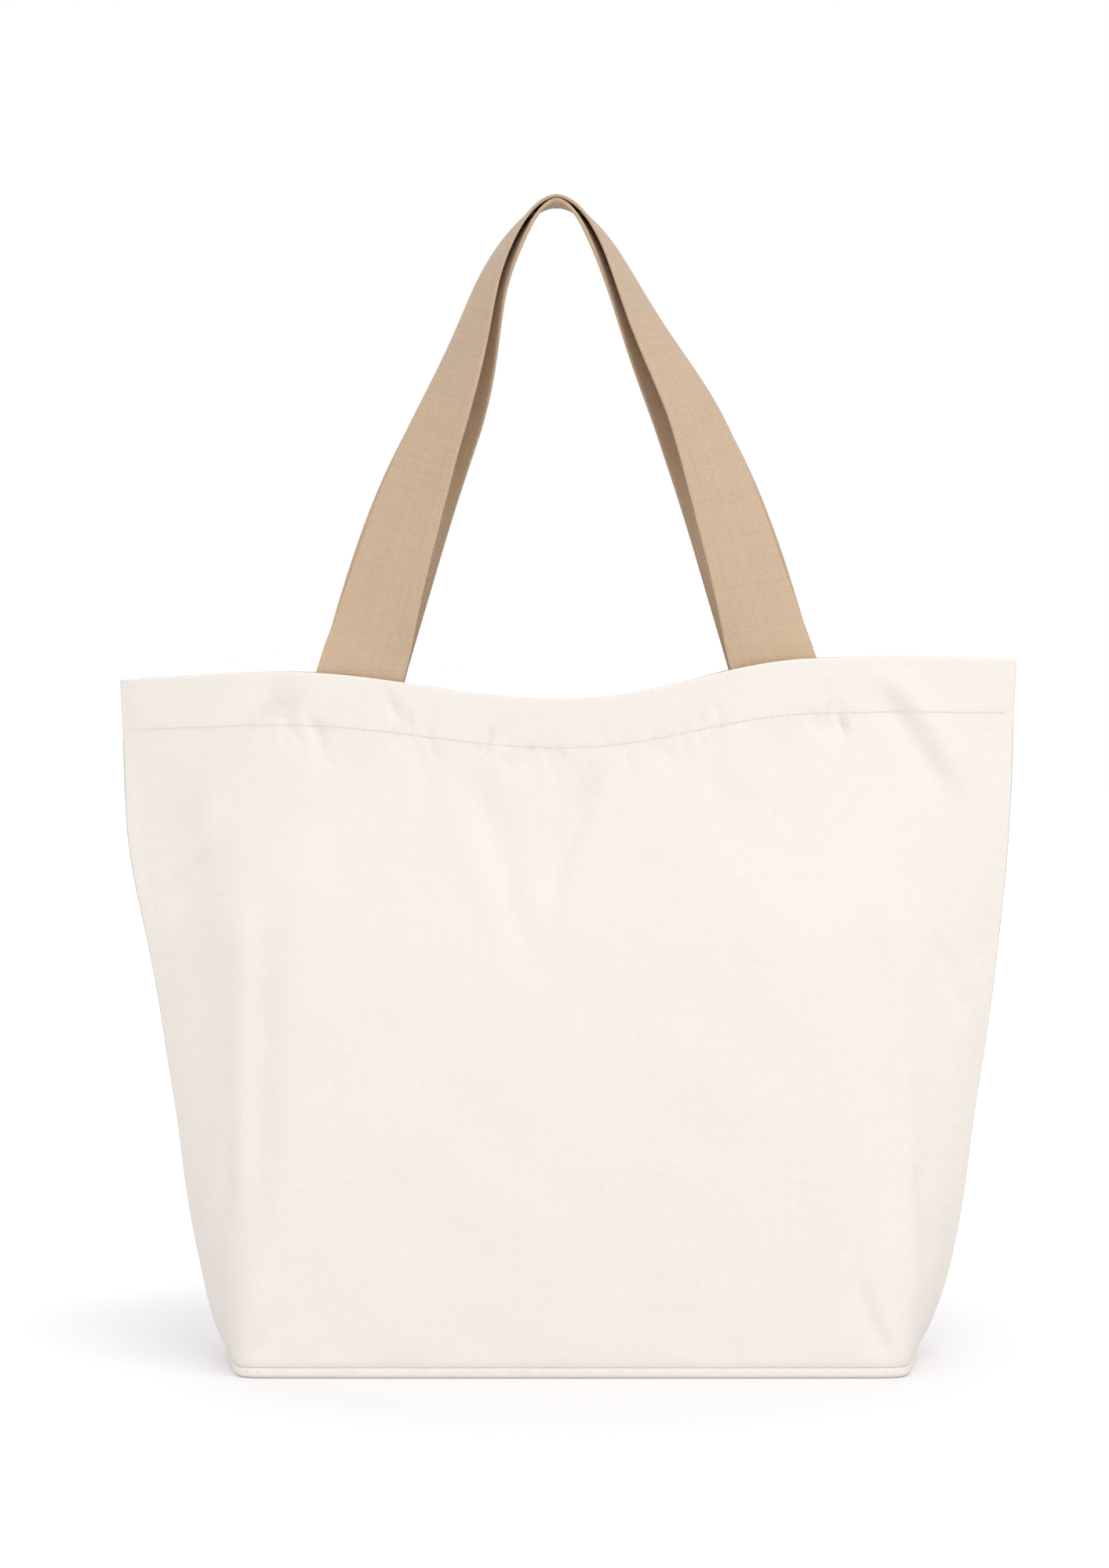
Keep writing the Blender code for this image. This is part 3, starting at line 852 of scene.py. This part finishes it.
# plain weave: each thread is sqrt |sin(pi x)| across itself, and the warp is on top where
# sin(pi u) sin(pi v) > 0. Height is the top thread's round back, Tone a shade for each thread, and Slub long
# thick places in it
def weaveGroup():
    tree, source, result = newGroup(
        "plainWeave",
        {"Vector": "Vector", "Warp Pitch": "Float", "Weft Pitch": "Float", "Wander": "Float"},
        {"Height": "Float", "Tone": "Float", "Slub": "Float"})
    wander = noise(tree, source["Vector"], weaveShape["wanderScale"], 2, "2D")
    drift = maths(tree, "MULTIPLY", maths(tree, "SUBTRACT", wander, 0.5), source["Wander"])
    split = node(tree, "ShaderNodeSeparateXYZ", {0: source["Vector"]}).outputs
    u = maths(tree, "ADD", maths(tree, "DIVIDE", split[0], source["Warp Pitch"]), drift)
    v = maths(tree, "ADD", maths(tree, "DIVIDE", split[1], source["Weft Pitch"]), drift)
    sinU = maths(tree, "SINE", maths(tree, "MULTIPLY", u, math.pi))
    sinV = maths(tree, "SINE", maths(tree, "MULTIPLY", v, math.pi))
    absU, absV = maths(tree, "ABSOLUTE", sinU), maths(tree, "ABSOLUTE", sinV)
    warpTop = maths(tree, "GREATER_THAN", maths(tree, "MULTIPLY", sinU, sinV), 0.0)

    def choose(warp, weft):  # whichever thread is on top
        return node(tree, "ShaderNodeMix", {0: warpTop, 2: weft, 3: warp}, data_type="FLOAT").outputs[0]

    def roundBack(across, along):  # sqrt(across) (1 - crimp + crimp along)
        dip = maths(tree, "MULTIPLY_ADD", along, weaveShape["crimp"], 1 - weaveShape["crimp"])
        return maths(tree, "MULTIPLY", maths(tree, "SQRT", across), dip)

    def threadTone(count, offset):  # one random number for each thread
        number = maths(tree, "ADD", maths(tree, "FLOOR", count), offset)
        return node(tree, "ShaderNodeTexWhiteNoise", {"W": number}, noise_dimensions="1D").outputs["Value"]

    def slub(across, along):  # noise drawn out along the thread
        x = maths(tree, "MULTIPLY", across, weaveShape["slubAcross"])
        y = maths(tree, "MULTIPLY", along, weaveShape["slubAlong"])
        return noise(tree, node(tree, "ShaderNodeCombineXYZ", {0: x, 1: y}).outputs[0], 1, 1, "2D")

    tree.links.new(choose(roundBack(absU, absV), roundBack(absV, absU)), result["Height"])
    tree.links.new(choose(threadTone(u, 0.5), threadTone(v, 400.5)), result["Tone"])
    tree.links.new(choose(slub(u, v), slub(v, u)), result["Slub"])
    return tree


# a colour darkened and lightened: colour x (1 + amount (value - 0.5))
def shadeGroup():
    tree, source, result = newGroup(
        "shadeBy", {"Color": "Color", "Value": "Float", "Amount": "Float"}, {"Color": "Color"})
    off = maths(tree, "SUBTRACT", source["Value"], 0.5)
    factor = maths(tree, "MULTIPLY_ADD", off, source["Amount"], 1.0)
    scaled = node(tree, "ShaderNodeVectorMath", {0: source["Color"], "Scale": factor}, operation="SCALE")
    tree.links.new(scaled.outputs[0], result["Color"])
    return tree


weave = weaveGroup()
shadeBy = shadeGroup()


# a colour put through shadeBy
def shaded(tree, color, value, amount):
    inputs = {"Color": color, "Value": value, "Amount": amount}
    return node(tree, "ShaderNodeGroup", inputs, node_tree=shadeBy).outputs[0]


# a matt material, its node tree and its shader
def newMaterial(name, roughness, sheen, specular=0.25):
    material = bpy.data.materials.new(name)
    material.use_nodes = True
    tree = material.node_tree
    shader = tree.nodes["Principled BSDF"]
    setInputs(tree, shader, {"Roughness": roughness, "Sheen Weight": sheen, "Sheen Roughness": 0.5,
                             "Specular IOR Level": specular})
    return material, tree, shader


# soft blotches read from the piece's own place
def blotches(tree, size, detail):
    return noise(tree, node(tree, "ShaderNodeTexCoord").outputs["Object"], 1 / size, detail, "3D")


# bends the shader's normal by a height
def addBump(tree, shader, height, look):
    inputs = {"Strength": look["strength"], "Distance": look["bump"], "Height": height}
    tree.links.new(node(tree, "ShaderNodeBump", inputs).outputs[0], shader.inputs["Normal"])


# in both looks the weave's height darkens the colour in the gaps between threads and lightens it on their
# crowns: painted shade and painted light
canvasLook = {
    "color": (0.865, 0.812, 0.753), "roughness": 0.88, "sheen": 0.15,
    "warp": 0.62 * mm, "weft": 0.7 * mm, "wander": 0.5,
    "tone": 0.02, "slub": 0.03, "gaps": 0.12, "blotch": 0.03, "blotchSize": 60 * mm,
    "fuzz": 0.35, "fuzzSize": 1.2 * mm, "strength": 0.6, "bump": 0.16 * mm}
webbingLook = {
    "color": (0.60, 0.44, 0.30), "roughness": 0.8, "sheen": 0.2,
    "warp": 1.25 * mm, "weft": 0.95 * mm, "wander": 0.25,
    "tone": 0.08, "slub": 0.08, "gaps": 0.22, "blotch": 0.08, "blotchSize": 60 * mm,
    "fuzz": 0.4, "fuzzSize": 1.2 * mm, "strength": 0.8, "bump": 0.35 * mm}


# woven cloth: thread tones, slubs and blotches in the colour, painted shade in the gaps between threads and
# painted light on their crowns, and the weave and its fuzz in the bump
def wovenMaterial(name, look):
    material, tree, shader = newMaterial(name, look["roughness"], look["sheen"])
    inputs = {"Vector": node(tree, "ShaderNodeUVMap", uv_map="cloth").outputs[0],
              "Warp Pitch": look["warp"], "Weft Pitch": look["weft"], "Wander": look["wander"]}
    threads = node(tree, "ShaderNodeGroup", inputs, node_tree=weave).outputs
    color = (*look["color"], 1)
    # the weave's height paints shade into the gaps between threads and light onto their crowns
    shades = ((threads["Tone"], "tone"), (threads["Slub"], "slub"), (threads["Height"], "gaps"),
              (blotches(tree, look["blotchSize"], 2), "blotch"))
    for value, amount in shades:
        color = shaded(tree, color, value, look[amount])
    tree.links.new(color, shader.inputs["Base Color"])
    height = maths(tree, "MULTIPLY_ADD", threads["Slub"], 0.5, threads["Height"])
    height = maths(tree, "MULTIPLY_ADD", blotches(tree, look["fuzzSize"], 3), look["fuzz"], height)
    addBump(tree, shader, height, look)
    return material


threadLook = {
    "roughness": 0.65, "sheen": 0.3, "plies": 2.0, "twist": 3.0, "shade": 0.25,
    "strength": 0.5, "bump": 0.1 * mm}


# sewing thread: 0.5 + 0.5 sin(2 pi (plies around + twist along)) in the bump, and in the colour as painted
# shade in the grooves between plies and painted light on their crowns
def threadMaterial(name, color):
    material, tree, shader = newMaterial(name, threadLook["roughness"], threadLook["sheen"])
    uv = node(tree, "ShaderNodeUVMap", uv_map="cloth").outputs[0]
    split = node(tree, "ShaderNodeSeparateXYZ", {0: uv}).outputs
    around = maths(tree, "MULTIPLY", split[0], threadLook["plies"])
    phase = maths(tree, "MULTIPLY_ADD", split[1], threadLook["twist"], around)
    turn = maths(tree, "SINE", maths(tree, "MULTIPLY", phase, 2 * math.pi))
    ply = maths(tree, "MULTIPLY_ADD", turn, 0.5, 0.5)
    # the ply stripes darken the colour in the grooves between plies and lighten it on their crowns: painted
    # shade and painted light
    tree.links.new(shaded(tree, (*color, 1), ply, threadLook["shade"]), shader.inputs["Base Color"])
    addBump(tree, shader, ply, threadLook)
    return material


canvasMaterial = wovenMaterial("unbleachedCanvas", canvasLook)
webbingMaterial = wovenMaterial("tanWebbing", webbingLook)
canvasThread = threadMaterial("canvasThread", (0.84, 0.77, 0.68))
webbingThread = threadMaterial("webbingThread", (0.58, 0.42, 0.29))


# gives a piece its material, the nodes that it stands for, and its body; slot is not used
def finish(item, material, slot, body, *nodes):
    item.data.materials.clear()
    item.data.materials.append(material)
    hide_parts(*nodes)
    if body:
        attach(item, body)


# the bag is made here
frontPanel = bodyPanel("front_panel_canvas", -1)
backPanel = bodyPanel("back_panel_canvas", 1)
finish(frontPanel, canvasMaterial, "canvas", "root", "front_panel")
finish(backPanel, canvasMaterial, "canvas", "root", "back_panel")
print("body panels made")

bottom = basePanel("base_panel_canvas")
finish(bottom, canvasMaterial, "canvas", "root", "base_panel")
print("base panel made")

for sideName, side in (("front", -1), ("back", 1)):
    stitches = hemStitches(sideName + "_hem_stitches", side)
    finish(stitches, canvasThread, "canvas_thread", "root", sideName + "_hem_stitching")
for endName, end in (("left", -1), ("right", 1)):
    threads = sideOverlock(endName + "_side_seam_threads", end)
    finish(threads, canvasThread, "canvas_thread", "root", endName + "_side_seam_overlock")
finish(baseOverlock("base_seam_threads"), canvasThread, "canvas_thread", "root", "base_seam_overlock")
print("hem stitches and overlocking made")

for name, shape in handles.items():
    strap, length = handleStrap(name, shape)
    finish(strap, webbingMaterial, "webbing", None, name, name + "_left_end", name + "_right_end")
    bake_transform(strap)
    for legName, leg in (("left", -1), ("right", 1)):
        label = f"{name}_{legName}_box_stitch"
        finish(boxStitches(label + "es", shape, leg), webbingThread, "webbing_thread", "root", label + "ing")
    print(name, "made,", round(length, 3), "m of webbing")

# floor, light and camera
studio = {
    "floorHalf": 9.0,
    "floorColor": (0.77, 0.76, 0.775),
    "floorRoughness": 0.9,
    "floorSpecular": 0.1,
    "floorGlow": 0.155,  # added where the camera looks at it, so that it turns white away from the bag
    "glowRise": 0.9,
    "glowFrom": 0.2,
    "glowTo": 1.1,
    "worldSeen": 1.0,
    "worldLight": 0.70,
}
# each light's name, place, where it is aimed, size, power and colour
lights = [
    ("keyLight", (0.8, -1.3, 2.3), (0, 0, 0.25), (2.2, 1.6), 22, (1, 0.99, 0.975)),
    ("fillLight", (-0.6, -3.0, 1.2), (0, 0, 0.3), (2.4, 2.0), 9, (0.98, 0.99, 1)),
    ("backLight", (-0.5, 2.5, 1.5), (0, 0, 0.3), (2.4, 1.8), 10, (1, 1, 1)),
    ("sideLight", (-2.0, -1.1, 0.55), (-0.2, 0, 0.2), (1.2, 1.0), 7, (1, 1, 1)),
    ("sideLight", (2.0, -1.1, 0.55), (0.2, 0, 0.2), (1.2, 1.0), 7, (1, 1, 1)),
]
view = {"place": (-8 * mm, -2.5, 0.42), "target": (-8 * mm, 0, 0.334), "lens": 99, "sensor": 36}


# puts a light or the camera at a place, turned so that it looks along target - place
def aimAt(item, place, target):
    item.location = place
    item.rotation_euler = Vector(np.array(target) - np.array(place)).to_track_quat("-Z", "Y").to_euler()
    bpy.context.scene.collection.objects.link(item)


# a rectangular light; its power is in watts
def areaLight(name, place, target, size, power, color):
    light = bpy.data.lights.new(name, "AREA")
    light.shape = "RECTANGLE"
    light.size, light.size_y = size
    light.energy = power
    light.color = color
    aimAt(bpy.data.objects.new(name, light), place, target)


# a pale floor: a matt surface that takes the bag's shadow, and a glow that rises further from the bag
def makeFloor():
    half, glowLow = studio["floorHalf"], studio["floorGlow"]
    points = np.array([[[-half, -half, 0], [half, -half, 0]], [[-half, half, 0], [half, half, 0]]])
    item = gridMesh("floor", points, points[..., :2])
    material, tree, shader = newMaterial("paleFloor", studio["floorRoughness"], 0, studio["floorSpecular"])
    setInputs(tree, shader, {"Base Color": (*studio["floorColor"], 1)})
    place = node(tree, "ShaderNodeTexCoord").outputs["Object"]
    reach = node(tree, "ShaderNodeVectorMath", {0: place}, operation="LENGTH").outputs["Value"]
    rise = node(tree, "ShaderNodeMapRange", {
        "Value": reach, "From Min": studio["glowFrom"], "From Max": studio["glowTo"],
        "To Min": glowLow, "To Max": glowLow + studio["glowRise"]}).outputs[0]
    seen = node(tree, "ShaderNodeLightPath").outputs["Is Camera Ray"]
    glow = node(tree, "ShaderNodeEmission", {"Strength": maths(tree, "MULTIPLY", seen, rise)})
    both = node(tree, "ShaderNodeAddShader", {0: shader.outputs[0], 1: glow.outputs[0]})
    tree.links.new(both.outputs[0], tree.nodes["Material Output"].inputs[0])
    item.data.materials.append(material)


# white where the camera looks past the floor, and a little dimmer as light on the bag
def makeWorld():
    world = bpy.data.worlds.new("studio")
    bpy.context.scene.world = world
    world.use_nodes = True
    tree, lit = world.node_tree, studio["worldLight"]
    seen = node(tree, "ShaderNodeLightPath").outputs["Is Camera Ray"]
    strength = maths(tree, "MULTIPLY_ADD", seen, studio["worldSeen"] - lit, lit)
    setInputs(tree, tree.nodes["Background"], {"Color": (1, 1, 1, 1), "Strength": strength})


makeFloor()
makeWorld()
for values in lights:
    areaLight(*values)
bpy.context.scene.view_settings.view_transform = "Standard"

camera = bpy.data.cameras.new("camera")
camera.lens = view["lens"]
camera.sensor_width = view["sensor"]
cameraItem = bpy.data.objects.new("camera", camera)
aimAt(cameraItem, view["place"], view["target"])
bpy.context.scene.camera = cameraItem
print("studio made")
